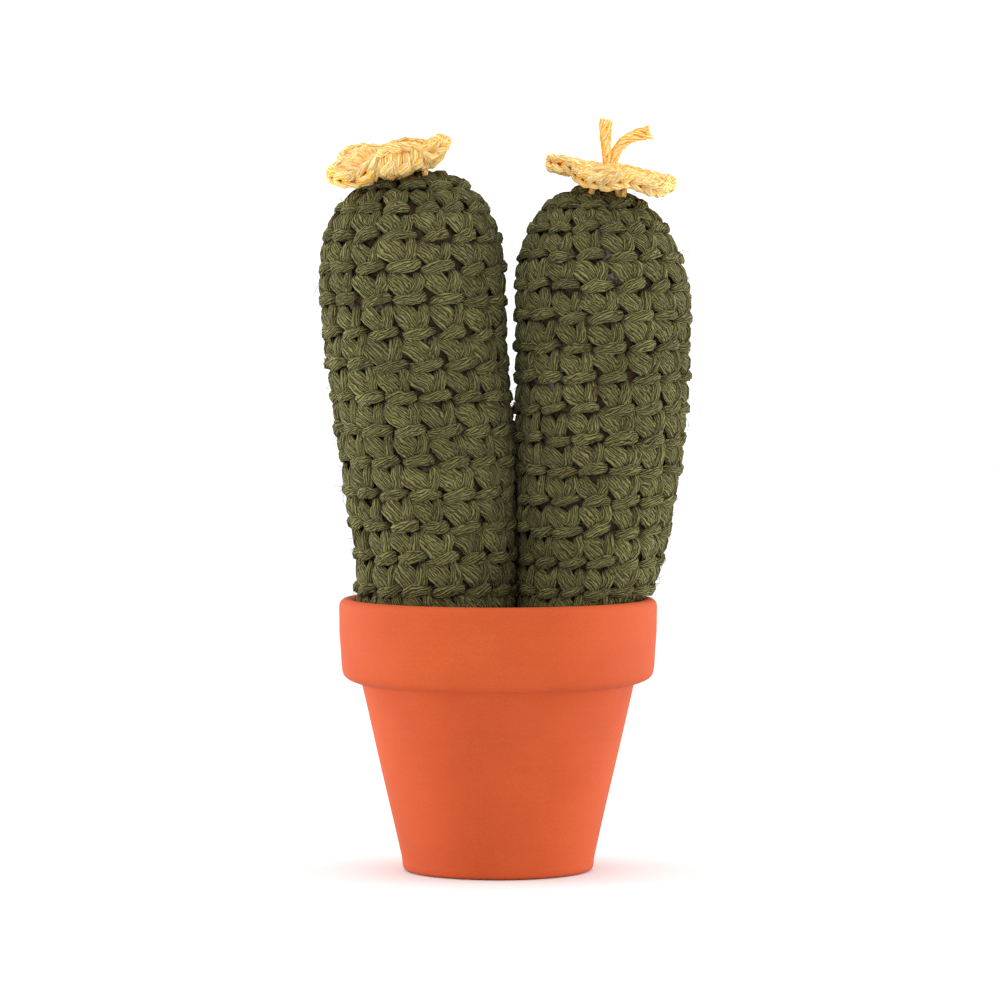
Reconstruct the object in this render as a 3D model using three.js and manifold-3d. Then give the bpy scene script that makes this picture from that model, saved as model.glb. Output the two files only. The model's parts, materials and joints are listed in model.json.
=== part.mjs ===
// A crocheted cactus in a clay pot: two stuffed crochet columns stand side by side in a small
// terracotta pot, each with a crocheted yellow flower sewn to its crown.
// Millimetres, +Z up. Each column is a crocheted cover round a core of stuffing, and both are
// squeezed into the pot's mouth and stand on a wad of the same stuffing.
import * as THREE from 'three';
import { mergeVertices } from 'three/addons/utils/BufferGeometryUtils.js';
import Module from 'manifold-3d';

const wasm = await Module();
wasm.setup();

// Clearances
const REST_GAP = 0.3; // between two pieces that lie against each other
const PRESS_GAP = 0.15; // from each column to the plane where the two press together

// Pot, a standard 80 mm clay pot
const POT_SIDES = 40;
const RIM_RADIUS = 40;
const RIM_FOOT_RADIUS = 39.2;
const RIM_FOOT_Z = 50.2;
const RIM_FOOT_ROUND = 2.6;
const LIP_RADIUS = 36;
const LIP_FLARE = 0.6; // the lip's inner edge is eased outwards by this much
const LIP_ROUND = 1.9;
const POT_HEIGHT = 68.5;
const NECK_RADIUS = 34.1;
const NECK_Z = 46.8;
const FOOT_RADIUS = 23.7;
const FOOT_ROUND = 2.4;
const FLOOR_THICKNESS = 6;
const FLOOR_RADIUS = 19.8;
const SHOULDER_Z = 47;
const SHOULDER_RADIUS = 30.6;
const DRAIN_RADIUS = 4.5;
const CORNER_STEPS = 3; // flats round each rounded corner of the profile

// Wad of stuffing in the pot
const WAD_TOP_Z = 52;
const SOCKET_GAP = 0.4;
const SOCKET_RISE = 6; // each socket is cut this far on above the wad

// Crochet: one stitch is a raised bar across the foot of two slanting legs
const STITCHES_ROUND = 15;
const ROUND_HEIGHT = 7.8;
const CROWN_COUNTS = [5, 10]; // stitches in the first two rounds from the crown
const DRIFT_PER_ROUND = -0.16; // each round starts this share of a stitch further round
const PLAIN_BELOW_Z = 61.3; // the pot hides the crochet under this height
const PLAIN_SIDES = 30;
const CROWN_RELIEF = 0.4; // how far the closed top stands out
const COVER_WALL = 3.4;
// How far the yarn stands out of the cover's mean surface, across one stitch from the hole at
// its left, at three heights: under the bar, along the bar's crest and over the legs.
const STITCH_RELIEF = [
  { up: 0, out: [-1.1, -0.3, -0.1, -0.4] },
  { up: 0.3, out: [-0.8, 0.8, 1.1, 0.8] },
  { up: 0.66, out: [0.3, 0.6, -0.3, 0.5] },
];
const CORE_SIDES = 20;
const CORE_RINGS = 9;
const MERIDIAN_STEPS = 80; // fine samples up a column's side, and as many again over its dome

// The columns: stations of height z, centre x, half width a and half depth b, then the dome,
// a superellipse of this power whose centre moves to the crown's x, the later the higher late is.
const LEFT_COLUMN = {
  stations: [
    [40, -11.9, 13.8, 18.2],
    [55, -13.8, 17.2, 21.5],
    [68.5, -15.4, 19.8, 24.2],
    [80, -15.5, 20.1, 24.9],
    [94, -16.8, 21.4, 24.0],
    [104, -17.4, 21.9, 23.6],
    [118, -19.1, 22.2, 23.2],
    [132, -20.7, 22.4, 22.9],
    [146, -21.5, 22.6, 22.6],
  ],
  crown: { z: 175.2, x: -20, power: 2.5, late: 5 },
  side: -1,
};
const RIGHT_COLUMN = {
  stations: [
    [40, 14.0, 12.2, 17.6],
    [55, 18.0, 14.0, 20.5],
    [66, 20.1, 15.3, 22.4],
    [71.5, 21.9, 17.0, 23.4],
    [81, 23.4, 18.5, 23.6],
    [94, 24.5, 19.7, 22.9],
    [110, 25.5, 20.9, 22.0],
    [126, 26.0, 21.1, 21.6],
    [142, 26.2, 21.3, 21.3],
  ],
  crown: { z: 171.0, x: 24.4, power: 2.1, late: 1 },
  side: 1,
};
// The plane x = press(z) where the columns press against each other: height, x
const PRESS_PLANE = [
  [40, 1.9],
  [68.5, 4.8],
  [110, 4.5],
  [132, 3.5],
  [150, 3.1],
];

// Flowers: a ruffled disc of five petals. lift raises a petal's tip and draw pulls it inwards.
const FLOWER_SPOKES = 50;
const FLOWER_RINGS = [0.2, 0.42, 0.64, 0.84, 1];
const FLOWER_THICKNESS = 3.4;
const NOTCH_DEPTH = 0.24; // between two petals, as a share of the radius
const PETAL_SPREAD = 1.25; // above 1, each petal is narrower than a half turn
const PETAL_FULLNESS = 1.1; // above 1, a petal's tip is blunt
const LIFT_SHARPNESS = 1.5; // how closely a lift keeps to its own petal
const LIFT_CURL = 2.2; // how late a petal bends up towards its tip
const EDGE_THIN = 0.35; // the edge's thickness, as a share of the disc's
const POST_RELIEF = 0.35; // ribs of the stitches that run out from the hub
const POSTS_FROM = 0.3; // as a share of the radius
const LEFT_FLOWER = {
  at: [-27.2, -2.5, 177.7],
  tilt: [13, -12],
  radius: 15.6,
  petals: [
    { turn: 186, lift: 1.6, draw: 0 },
    { turn: 256, lift: 0.2, draw: 0 },
    { turn: 320, lift: 5.0, draw: 0.24 },
    { turn: 28, lift: 3.4, draw: 0.04 },
    { turn: 116, lift: 1.2, draw: 0.05 },
  ],
};
const RIGHT_FLOWER = {
  at: [28.4, -0.8, 173.7],
  tilt: [5, 9],
  radius: 16.3,
  petals: [
    { turn: 182, lift: 0.6, draw: 0 },
    { turn: 250, lift: 0.2, draw: 0 },
    { turn: 322, lift: -0.4, draw: 0 },
    { turn: 32, lift: 0.8, draw: 0 },
    { turn: 106, lift: 1.4, draw: 0 },
  ],
};

// Strands of the flower's own yarn: how thick each is at its start and end, and its route.
// Two ends stand up from the right flower's middle, and short loops sew both flowers down.
const STRAND_SIDES = 7;
const STRAND_STEPS = 8;
const STRAND_END = 3; // how late a strand's radius changes
const END_RADII = [1.35, 1.75];
const LOOP_RADII = [1, 0.8];
const LEFT_STRANDS = [
  { radii: LOOP_RADII, route: [[-18.2, -8, 180], [-18, -10.2, 177.4], [-17.9, -11, 175.6]] },
];
const RIGHT_STRANDS = [
  {
    radii: END_RADII,
    route: [[27.6, -0.4, 173.2], [27.3, -0.6, 178], [27.1, -0.9, 183], [26.9, -1.1, 188.4]],
  },
  {
    radii: END_RADII,
    route: [[29.2, -0.2, 173.2], [29.3, 0, 178.5], [31.8, 0.4, 182.6], [35.2, 0.7, 184.9],
      [38.2, 0.9, 186.2]],
  },
  { radii: LOOP_RADII, route: [[23.4, -9, 172.6], [23.3, -12.6, 170.6], [23.3, -13.8, 168.6]] },
  { radii: LOOP_RADII, route: [[30.2, -9, 171.8], [30.6, -12.8, 169.8], [30.8, -14.4, 167.4]] },
];

const terracotta = new THREE.MeshStandardMaterial({ color: 0xd96536, roughness: 0.85 });
const greenYarn = new THREE.MeshStandardMaterial({ color: 0x5a6033, roughness: 0.95 });
const yellowYarn = new THREE.MeshStandardMaterial({ color: 0xf9cd7c, roughness: 0.95 });
const fibre = new THREE.MeshStandardMaterial({ color: 0xd8d5cd, roughness: 1 });

const radians = THREE.MathUtils.degToRad;
const lerp = THREE.MathUtils.lerp;

// The value of a table of [position, value] rows, straight between its rows.
function along(table, position) {
  const last = table.length - 1;
  if (position <= table[0][0]) return table[0][1];
  if (position >= table[last][0]) return table[last][1];
  const next = table.findIndex(([at]) => at > position);
  const [from, low] = table[next - 1];
  const [to, high] = table[next];
  return lerp(low, high, (position - from) / (to - from));
}

// How far out the pot's inside, and then the air over its lip, reaches: height, radius.
// A column's cover lies close over the lip's inner edge and is free soon after.
const FREE_ABOVE_LIP = 4;
const POT_INSIDE = [
  [FLOOR_THICKNESS, FLOOR_RADIUS],
  [SHOULDER_Z, SHOULDER_RADIUS],
  [POT_HEIGHT - LIP_ROUND, LIP_RADIUS],
  [POT_HEIGHT, LIP_RADIUS + LIP_FLARE],
  [POT_HEIGHT + REST_GAP, LIP_RADIUS + LIP_FLARE],
  [POT_HEIGHT + FREE_ABOVE_LIP, 2 * RIM_RADIUS],
];

function meshOf(name, geometry, material) {
  const mesh = new THREE.Mesh(geometry, material);
  mesh.name = name;
  return mesh;
}

function geometryOf(points, triangles) {
  const geometry = new THREE.BufferGeometry();
  geometry.setAttribute('position', new THREE.Float32BufferAttribute(points.flat(), 3));
  geometry.setIndex(triangles.flat());
  return geometry;
}

function solidOf(geometry) {
  const bare = geometry.clone();
  bare.deleteAttribute('normal');
  bare.deleteAttribute('uv');
  const merged = mergeVertices(bare, 1e-4);
  return new wasm.Manifold(new wasm.Mesh({
    numProp: 3,
    vertProperties: merged.attributes.position.array,
    triVerts: new Uint32Array(merged.index.array),
  }));
}

function geometryOfSolid(solid) {
  const { vertProperties, triVerts } = solid.getMesh();
  const geometry = new THREE.BufferGeometry();
  geometry.setAttribute('position', new THREE.Float32BufferAttribute(vertProperties, 3));
  geometry.setIndex(Array.from(triVerts));
  return geometry;
}

// Points round an arc about [r, z], as [radius, height] pairs for a turned profile.
function roundCorner([r, z], radius, fromDegrees, toDegrees) {
  return Array.from({ length: CORNER_STEPS + 1 }, (_, i) => {
    const angle = radians(lerp(fromDegrees, toDegrees, i / CORNER_STEPS));
    return [r + radius * Math.cos(angle), z + radius * Math.sin(angle)];
  });
}

function turned(profile, sides) {
  const closed = [...profile, profile[0]].map(([r, z]) => new THREE.Vector2(r, z));
  return new THREE.LatheGeometry(closed, sides).rotateX(Math.PI / 2);
}

function makePot() {
  const profile = [
    [DRAIN_RADIUS, 0],
    ...roundCorner([FOOT_RADIUS - FOOT_ROUND, FOOT_ROUND], FOOT_ROUND, -90, -8),
    [NECK_RADIUS, NECK_Z],
    ...roundCorner([RIM_FOOT_RADIUS - RIM_FOOT_ROUND, RIM_FOOT_Z], RIM_FOOT_ROUND, -70, 0),
    ...roundCorner([RIM_RADIUS - LIP_ROUND, POT_HEIGHT - LIP_ROUND], LIP_ROUND, 0, 90),
    [LIP_RADIUS + LIP_FLARE, POT_HEIGHT],
    [LIP_RADIUS, POT_HEIGHT - LIP_ROUND],
    [SHOULDER_RADIUS, SHOULDER_Z],
    [FLOOR_RADIUS, FLOOR_THICKNESS],
    [DRAIN_RADIUS, FLOOR_THICKNESS],
  ];
  return meshOf('pot', turned(profile, POT_SIDES), terracotta);
}

// A column's meridian: fine samples of z, x, a and b with the length run so far.
function meridianOf({ stations, crown }) {
  const curve = (k) => new THREE.CatmullRomCurve3(
    stations.map((row) => new THREE.Vector3(row[0], row[k], 0)), false, 'centripetal');
  const [middle, halfWidth, halfDepth] = [1, 2, 3].map(curve);
  const samples = [];
  for (let i = 0; i < MERIDIAN_STEPS; i++) {
    const [x, a, b] = [middle, halfWidth, halfDepth].map((c) => c.getPoint(i / MERIDIAN_STEPS));
    samples.push({ z: a.x, x: x.y, a: a.y, b: b.y });
  }
  const [shoulderZ, shoulderX, shoulderA, shoulderB] = stations.at(-1);
  for (let i = 0; i <= MERIDIAN_STEPS; i++) {
    const angle = (i / MERIDIAN_STEPS) * Math.PI / 2;
    const inwards = Math.max(0, Math.cos(angle)) ** (2 / crown.power);
    const upwards = Math.sin(angle) ** (2 / crown.power);
    samples.push({
      z: shoulderZ + (crown.z - shoulderZ) * upwards,
      x: shoulderX + (crown.x - shoulderX) * upwards ** crown.late,
      a: shoulderA * inwards,
      b: shoulderB * inwards,
    });
  }
  samples[0].run = 0;
  for (let i = 1; i < samples.length; i++) {
    const [p, q] = [samples[i - 1], samples[i]];
    q.run = p.run + Math.hypot(q.a - p.a, q.z - p.z);
  }
  return samples;
}

// A column as a function of the length up its meridian, the angle round it and the distance out.
function surfaceOf(column) {
  const samples = meridianOf(column);
  const length = samples.at(-1).run;
  const pick = (run) => {
    const next = Math.max(1, samples.findIndex((s) => s.run >= Math.min(run, length - 1e-6)));
    const [p, q] = [samples[next - 1], samples[next]];
    const share = (run - p.run) / (q.run - p.run);
    const at = Object.fromEntries(['z', 'x', 'a', 'b'].map((k) => [k, lerp(p[k], q[k], share)]));
    const span = q.run - p.run;
    return { ...at, outwards: (q.z - p.z) / span, upwards: Math.max(0, p.a - q.a) / span };
  };
  const point = (run, angle, out, margin = 0) => {
    const s = pick(run);
    const z = s.z + out * s.upwards;
    let x = s.x + Math.max(0, s.a + out * s.outwards) * Math.cos(angle);
    let y = Math.max(0, s.b + out * s.outwards) * Math.sin(angle);
    const wall = along(POT_INSIDE, z) * Math.cos(Math.PI / POT_SIDES) - REST_GAP - margin;
    const fromAxis = Math.hypot(x, y);
    if (fromAxis > wall) {
      x *= wall / fromAxis;
      y *= wall / fromAxis;
    }
    const press = along(PRESS_PLANE, z) + column.side * (PRESS_GAP + margin);
    x = column.side < 0 ? Math.min(x, press) : Math.max(x, press);
    return [x, y, z];
  };
  const heightAt = (z) => along(samples.map((s) => [s.z, s.run]), z);
  return { length, point, heightAt };
}

// Rings of points joined into one closed surface: rings may hold different numbers of points,
// and a ring of one point is a pole. Rings run outside up and inside down, or up a solid.
function skinOf(rings, joinEnds) {
  const points = rings.flat();
  const starts = rings.map((_, k) => rings.slice(0, k).reduce((sum, ring) => sum + ring.length, 0));
  const triangles = [];
  const apart = (p, q) => Math.hypot(...points[p].map((v, k) => v - points[q][k]));
  const bridge = (low, high) => {
    const [n, m] = [rings[low].length, rings[high].length];
    const [lowSteps, highSteps] = [n === 1 ? 0 : n, m === 1 ? 0 : m];
    let [i, j] = [0, 0];
    while (i < lowSteps || j < highSteps) {
      const [p, q] = [starts[low] + (i % n), starts[high] + (j % m)];
      const [nextP, nextQ] = [starts[low] + ((i + 1) % n), starts[high] + ((j + 1) % m)];
      const lowIsNearer = n === m ? apart(nextP, q) <= apart(p, nextQ) : (i + 1) / n <= (j + 1) / m;
      if (j >= highSteps || (i < lowSteps && lowIsNearer)) {
        triangles.push([p, nextP, q]);
        i++;
      } else {
        triangles.push([p, nextQ, q]);
        j++;
      }
    }
  };
  for (let k = 0; k + 1 < rings.length; k++) bridge(k, k + 1);
  if (joinEnds) bridge(rings.length - 1, 0);
  return geometryOf(points, triangles);
}

function ringAt(surface, run, count, out, margin, turns = 0) {
  return Array.from({ length: count }, (_, i) => {
    const angle = 2 * Math.PI * (i / count + turns);
    return surface.point(run, angle, typeof out === 'function' ? out(i) : out, margin);
  });
}

function middleOf(ring) {
  return [0, 1, 2].map((k) => ring.reduce((sum, p) => sum + p[k], 0) / ring.length);
}

// The outside of a cover: plain inside the pot, then round after round of stitches to the crown.
function coverOutside(surface) {
  const firstStitch = surface.heightAt(PLAIN_BELOW_Z);
  const rings = [0, 0.5].map((share) => ringAt(surface, firstStitch * share, PLAIN_SIDES, 0, 0));
  const rounds = Math.round((surface.length - firstStitch) / ROUND_HEIGHT);
  const pitch = (surface.length - firstStitch) / rounds;
  for (let round = 0; round < rounds; round++) {
    const stitches = CROWN_COUNTS[rounds - 1 - round] ?? STITCHES_ROUND;
    for (const { up, out } of STITCH_RELIEF) {
      const run = firstStitch + (round + up) * pitch;
      const count = stitches * out.length;
      const turns = (round * DRIFT_PER_ROUND) / STITCHES_ROUND;
      rings.push(ringAt(surface, run, count, (i) => out[i % out.length], 0, turns));
    }
  }
  rings.push([surface.point(surface.length, 0, CROWN_RELIEF)]);
  return rings;
}

// Rings up a core that lies this far inside the cover's mean surface, closed at the crown.
function coreRings(surface, inset) {
  const rings = [];
  for (let i = 0; i < CORE_RINGS; i++) {
    const run = surface.length * Math.sin((i / CORE_RINGS) * Math.PI / 2);
    rings.push(ringAt(surface, run, CORE_SIDES, -inset, inset));
  }
  return [...rings, [surface.point(surface.length, 0, -inset, inset)]];
}

function makeCover(name, surface) {
  const rings = [...coverOutside(surface), ...coreRings(surface, COVER_WALL).reverse()];
  return meshOf(name, skinOf(rings, true), greenYarn);
}

function makeStuffing(name, surface) {
  const rings = coreRings(surface, COVER_WALL + REST_GAP);
  return meshOf(name, skinOf([[middleOf(rings[0])], ...rings], false), fibre);
}

// The wad fills the pot under the columns, with a plain socket for each of them.
function makeWad(surfaces) {
  const bottom = FLOOR_THICKNESS + REST_GAP;
  const inside = (z) => along(POT_INSIDE, z) - REST_GAP;
  const outline = [[0, bottom], [inside(bottom), bottom], [inside(SHOULDER_Z), SHOULDER_Z],
    [inside(WAD_TOP_Z), WAD_TOP_Z], [0, WAD_TOP_Z]].map(([r, z]) => new THREE.Vector2(r, z));
  let wad = solidOf(new THREE.LatheGeometry(outline, POT_SIDES).rotateX(Math.PI / 2));
  for (const surface of surfaces) {
    const up = surface.heightAt(WAD_TOP_Z + SOCKET_RISE);
    const rings = [0, 0.5, 1].map((share) =>
      ringAt(surface, up * share, PLAIN_SIDES, SOCKET_GAP, -2 * SOCKET_GAP));
    rings[0] = rings[0].map(([x, y, z]) => [x, y, z - REST_GAP]);
    const socket = skinOf([[middleOf(rings[0])], ...rings, [middleOf(rings[2])]], false);
    wad = wad.subtract(solidOf(socket));
  }
  return meshOf('pot_stuffing', geometryOfSolid(wad), fibre);
}

// How strongly a direction belongs to a petal: 1 along its middle, 0 past its edges.
function petalShare(turn, angle) {
  const away = Math.abs(Math.atan2(Math.sin(angle - turn), Math.cos(angle - turn)));
  return Math.max(0, Math.cos(Math.min(Math.PI / 2, away * PETAL_SPREAD)));
}

// A flower's surface point, in its own frame: spoke angle, share of the radius, and side.
function flowerPoint({ radius, petals }, spoke, share, side) {
  const angle = (2 * Math.PI * spoke) / FLOWER_SPOKES;
  const shares = petals.map(({ turn }) => petalShare(radians(turn), angle));
  const sumOf = (key) => petals.reduce(
    (sum, petal, k) => sum + petal[key] * shares[k] ** LIFT_SHARPNESS, 0);
  const fullness = Math.min(1, Math.max(...shares) * PETAL_FULLNESS);
  const edge = radius * (1 - NOTCH_DEPTH * (1 - fullness));
  const reach = edge * share * (1 - sumOf('draw') * share ** 2);
  const thickness = share === 1 ? EDGE_THIN : 1;
  const rib = share > POSTS_FROM ? POST_RELIEF * (-1) ** spoke : 0;
  const z = sumOf('lift') * share ** LIFT_CURL + side * thickness * (FLOWER_THICKNESS / 2 + rib);
  return [reach * Math.cos(angle), reach * Math.sin(angle), z];
}

function flowerDisc(flower) {
  const ring = (share, side) => Array.from(
    { length: FLOWER_SPOKES }, (_, spoke) => flowerPoint(flower, spoke, share, side));
  const under = FLOWER_RINGS.map((share) => ring(share, -1));
  const over = FLOWER_RINGS.map((share) => ring(share, 1)).reverse();
  const hub = (side) => [[0, 0, side * FLOWER_THICKNESS / 2]];
  const disc = skinOf([hub(-1), ...under, ...over, hub(1)], false);
  const [tiltX, tiltY] = flower.tilt.map(radians);
  return disc.applyMatrix4(new THREE.Matrix4().makeRotationFromEuler(
    new THREE.Euler(tiltX, tiltY, 0))).translate(...flower.at);
}

// A round strand along its route, whose radius changes only towards its end.
function strandSolid({ radii, route }) {
  const curve = new THREE.CatmullRomCurve3(route.map((p) => new THREE.Vector3(...p)));
  const frames = curve.computeFrenetFrames(STRAND_STEPS);
  const rings = curve.getPoints(STRAND_STEPS).map((centre, i) => {
    const radius = lerp(...radii, (i / STRAND_STEPS) ** STRAND_END);
    return Array.from({ length: STRAND_SIDES }, (_, k) => {
      const angle = (2 * Math.PI * k) / STRAND_SIDES;
      const p = centre.clone().addScaledVector(frames.normals[i], radius * Math.cos(angle))
        .addScaledVector(frames.binormals[i], radius * Math.sin(angle));
      return p.toArray();
    });
  });
  return solidOf(skinOf([[route[0]], ...rings, [route.at(-1)]], false));
}

function makeFlower(name, flower, strands) {
  const disc = solidOf(flowerDisc(flower));
  const bloom = strands.reduce((sum, strand) => sum.add(strandSolid(strand)), disc);
  return meshOf(name, geometryOfSolid(bloom), yellowYarn);
}

const left = surfaceOf(LEFT_COLUMN);
const right = surfaceOf(RIGHT_COLUMN);

const cactus = new THREE.Group();
cactus.add(
  makePot(),
  makeWad([left, right]),
  makeCover('column_cover_left', left),
  makeCover('column_cover_right', right),
  makeStuffing('column_stuffing_left', left),
  makeStuffing('column_stuffing_right', right),
  makeFlower('flower_left', LEFT_FLOWER, LEFT_STRANDS),
  makeFlower('flower_right', RIGHT_FLOWER, RIGHT_STRANDS),
);

// The origin lies on the surface that the pot stands on, under the middle of the whole outline.
const outline = new THREE.Box3().setFromObject(cactus, true);
cactus.position.set(-(outline.min.x + outline.max.x) / 2, -(outline.min.y + outline.max.y) / 2, 0);

export default cactus;
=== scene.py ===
"""A crocheted cactus in a clay pot: two stuffed crochet columns, two yellow crochet flowers."""
import json
import math

import bpy
import numpy as np
from bpy.props import FloatProperty, FloatVectorProperty, IntProperty, PointerProperty
from mathutils import Euler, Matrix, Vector, noise

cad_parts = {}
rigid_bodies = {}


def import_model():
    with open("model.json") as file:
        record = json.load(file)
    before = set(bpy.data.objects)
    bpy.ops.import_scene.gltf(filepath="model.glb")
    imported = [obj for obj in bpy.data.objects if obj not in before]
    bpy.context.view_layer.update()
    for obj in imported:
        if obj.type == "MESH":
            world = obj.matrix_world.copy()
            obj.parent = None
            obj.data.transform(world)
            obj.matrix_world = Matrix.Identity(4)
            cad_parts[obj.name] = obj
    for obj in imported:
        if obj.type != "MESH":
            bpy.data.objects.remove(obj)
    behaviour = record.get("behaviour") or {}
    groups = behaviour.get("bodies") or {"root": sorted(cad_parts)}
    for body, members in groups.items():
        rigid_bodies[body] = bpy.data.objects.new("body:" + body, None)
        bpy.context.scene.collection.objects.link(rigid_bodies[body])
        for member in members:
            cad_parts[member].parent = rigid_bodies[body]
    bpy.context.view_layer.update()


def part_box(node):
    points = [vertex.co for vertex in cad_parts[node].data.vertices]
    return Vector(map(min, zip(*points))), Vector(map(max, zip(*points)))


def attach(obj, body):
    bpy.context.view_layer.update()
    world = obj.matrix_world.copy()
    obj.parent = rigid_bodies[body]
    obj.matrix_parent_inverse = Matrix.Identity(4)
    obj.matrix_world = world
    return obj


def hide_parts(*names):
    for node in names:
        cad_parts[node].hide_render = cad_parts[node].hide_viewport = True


bl_info = {
    "name": "Crocheted cactus",
    "version": (1, 0, 0),
    "blender": (4, 5, 0),
    "location": "View3D > Sidebar > Cactus",
    "description": "Makes a crocheted cactus of two stuffed columns with flowers, in a clay pot",
    "category": "Object",
}

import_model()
POT_LOW, POT_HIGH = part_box("pot")
POT_AXIS = np.array([(POT_LOW.x + POT_HIGH.x) / 2, (POT_LOW.y + POT_HIGH.y) / 2, 0.0])

MM = 0.001
TURN = 2 * math.pi

# The pot, in millimetres: its outside as radius and height, its inside as height and radius, and
# the facets of the CAD pot, which what is in it keeps clear of
CAD_POT_SIDES = 40
POT_HEIGHT = 68.5
RIM_RADIUS = 40
LIP_RADIUS = 36
LIP_ROUND = 1.9
DRAIN_RADIUS = 4.5
FLOOR_THICKNESS = 6
FLOOR_RADIUS = 19.8
BEND_RADIUS = 30.6
BEND_Z = 47
POT_OUTSIDE = [(21.4, 0), (23.7, 0.5), (24.2, 3.2), (34.1, 46.4)]
UNDER_RIM = [(34.6, 47.2), (36.2, 47.6), (38.3, 48.7), (39.2, 50.6), (39.6, 56)]
POT_INSIDE = [
    (FLOOR_THICKNESS, FLOOR_RADIUS),
    (BEND_Z, BEND_RADIUS),
    (POT_HEIGHT - LIP_ROUND, LIP_RADIUS),
    (POT_HEIGHT, LIP_RADIUS + 0.6),
    (POT_HEIGHT + 0.3, LIP_RADIUS + 0.6),
    (POT_HEIGHT + 4, 2 * RIM_RADIUS),
]

# The wad of stuffing in the pot, in millimetres
WAD_TOP_Z = 52
WAD_FOOT_Z = FLOOR_THICKNESS + 0.4
WAD_LUMPS = 3.2
WAD_EDGE_DROP = 1.8

# The columns, in millimetres: height, middle, half width and half depth up the side, then the dome.
# A crown's power squares its dome, and late says how near its tip the middle moves over
COLUMNS = {
    "left": {
        "stations": [
            (40, -11.9, 13.8, 18.2),
            (55, -13.8, 17.2, 21.5),
            (68.5, -15.4, 19.8, 24.2),
            (80, -15.5, 20.1, 24.9),
            (94, -16.8, 21.4, 24.0),
            (104, -17.4, 21.9, 23.6),
            (118, -19.1, 22.2, 23.2),
            (132, -20.7, 22.6, 22.9),
            (146, -21.5, 23.0, 22.6),
        ],
        "crown": {"z": 175.2, "x": -20, "power": 2.5, "late": 5},
        "side": -1,
    },
    "right": {
        "stations": [
            (40, 14.0, 12.2, 17.6),
            (55, 18.0, 14.0, 20.5),
            (66, 20.1, 15.3, 22.4),
            (71.5, 21.9, 17.0, 23.4),
            (81, 23.4, 18.5, 23.6),
            (94, 24.5, 19.7, 22.9),
            (110, 25.6, 21.1, 22.0),
            (126, 26.2, 21.4, 21.6),
            (142, 26.4, 21.7, 21.3),
        ],
        "crown": {"z": 171.7, "x": 24.4, "power": 2.1, "late": 1},
        "side": 1,
    },
}

# Where the columns meet, by height, the gaps that each keeps to that plane and to the pot's wall, and
# the share of its relief that widens the first gap: below 0, its stitches sink into the other's
PRESS_PLANE = [(40, 1.9), (68.5, 4.8), (110, 4.5), (132, 3.5), (150, 3.1)]
PRESS_GAP = 0.15
REST_GAP = 0.3
PRESSED_FLAT = [(104, -0.45), (118, 0.3)]

# The columns' stitches and the filling behind them, in millimetres
FIRST_STITCH_Z = 61.3
ROUND_HEIGHT = 7.8
ROUNDS_IN_POT = 1
STITCH_WIDTH = 9.8
STITCH_SPREAD = 1.09
FILLING_DEPTH = 3.9
FILLING_FOOT_Z = 43.7
CROWN_END = 0.25
ROWS_IN_POT = 6

# Loose fibres, in millimetres, and the sides and strands of the yarn's plies and flat cores
HAIR_LENGTH = 4.6
HAIR_RADIUS = 0.045
FLUFF_LENGTH = 9.0
FLUFF_RADIUS = 0.13
PLY_SIDES = 4
CORE_SIDES = 6
STRANDS_IN_PLY = 5
STRANDS_IN_CORE = 18

# The flowers, in millimetres and degrees: each petal has its direction, how far it curls up and its
# length as a share of the flower's radius
FLOWERS = {
    "left": {
        "at": (-26.8, -3.4, 177.0),
        "tilt": (19, -6),
        "radius": 15.0,
        "notch": 0.24,
        "petals": [(202, 3, 1.0), (285, 112, 1.16), (352, 66, 1.04), (66, 8, 0.92), (134, 8, 0.98)],
        "valley": 0.5,
        "seed": 3,
        "ends": [],
        "sewing": [[(-18.4, -5, 177.2), (-18.2, -7.6, 175.9), (-18.0, -9.3, 174.1)]],
    },
    "right": {
        "at": (28.7, -0.8, 174.6),
        "tilt": (2.5, 8),
        "radius": 14.9,
        "notch": 0.16,
        "petals": [(184, 10, 1.03), (254, -26, 1.0), (326, -25, 0.98), (24, -5, 1.04), (108, 4, 1.0)],
        "valley": -0.6,
        "seed": 4,
        "ends": [
            [(27.6, -0.4, 174.4), (27.4, -0.6, 178), (26.9, -0.9, 183), (26.9, -1.1, 188.0)],
            [(29.2, -0.2, 174.4), (29.0, 0, 178.7), (31.4, 0.4, 182.7), (34.8, 0.7, 184.6),
             (38.0, 0.9, 185.2)],
        ],
        "sewing": [[(24.6, -5, 173.6), (23.8, -6.8, 171.7), (23.1, -8.2, 169.2)],
                   [(28.6, -5, 173.2), (29.6, -6.6, 171.2), (30.2, -7.6, 168.6)],
                   [(32.0, -5, 173.0), (31.6, -6.8, 171.0), (30.9, -8.0, 168.4)],
                   [(24.0, -1.5, 174.2), (26.0, -3.4, 176.4), (29.2, -3.6, 176.6), (31.6, -1.5, 174.2)],
                   [(25.0, 1.5, 174.6), (27.0, 2.4, 176.8), (30.2, 2.2, 176.6), (32.0, 0.5, 174.4)]],
    },
}

# The flowers' sheets, the braid round them, their yarn ends and sewing loops, in millimetres and
# degrees. A petal bends from BEND_START of its length outwards
SHEET_HALF = 0.9
SHEET_REACH = 1.05
FACE_LINING = 0.7
RIM_HALF = 1.15
RIM_WRAP = 210
RIM_LINING = 0.6
END_HALF = 1.55
SEWING_HALF = 0.9
BEND_START = 0.4
FACE_STITCHES = 20
FACE_ROUNDS = 2

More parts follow.
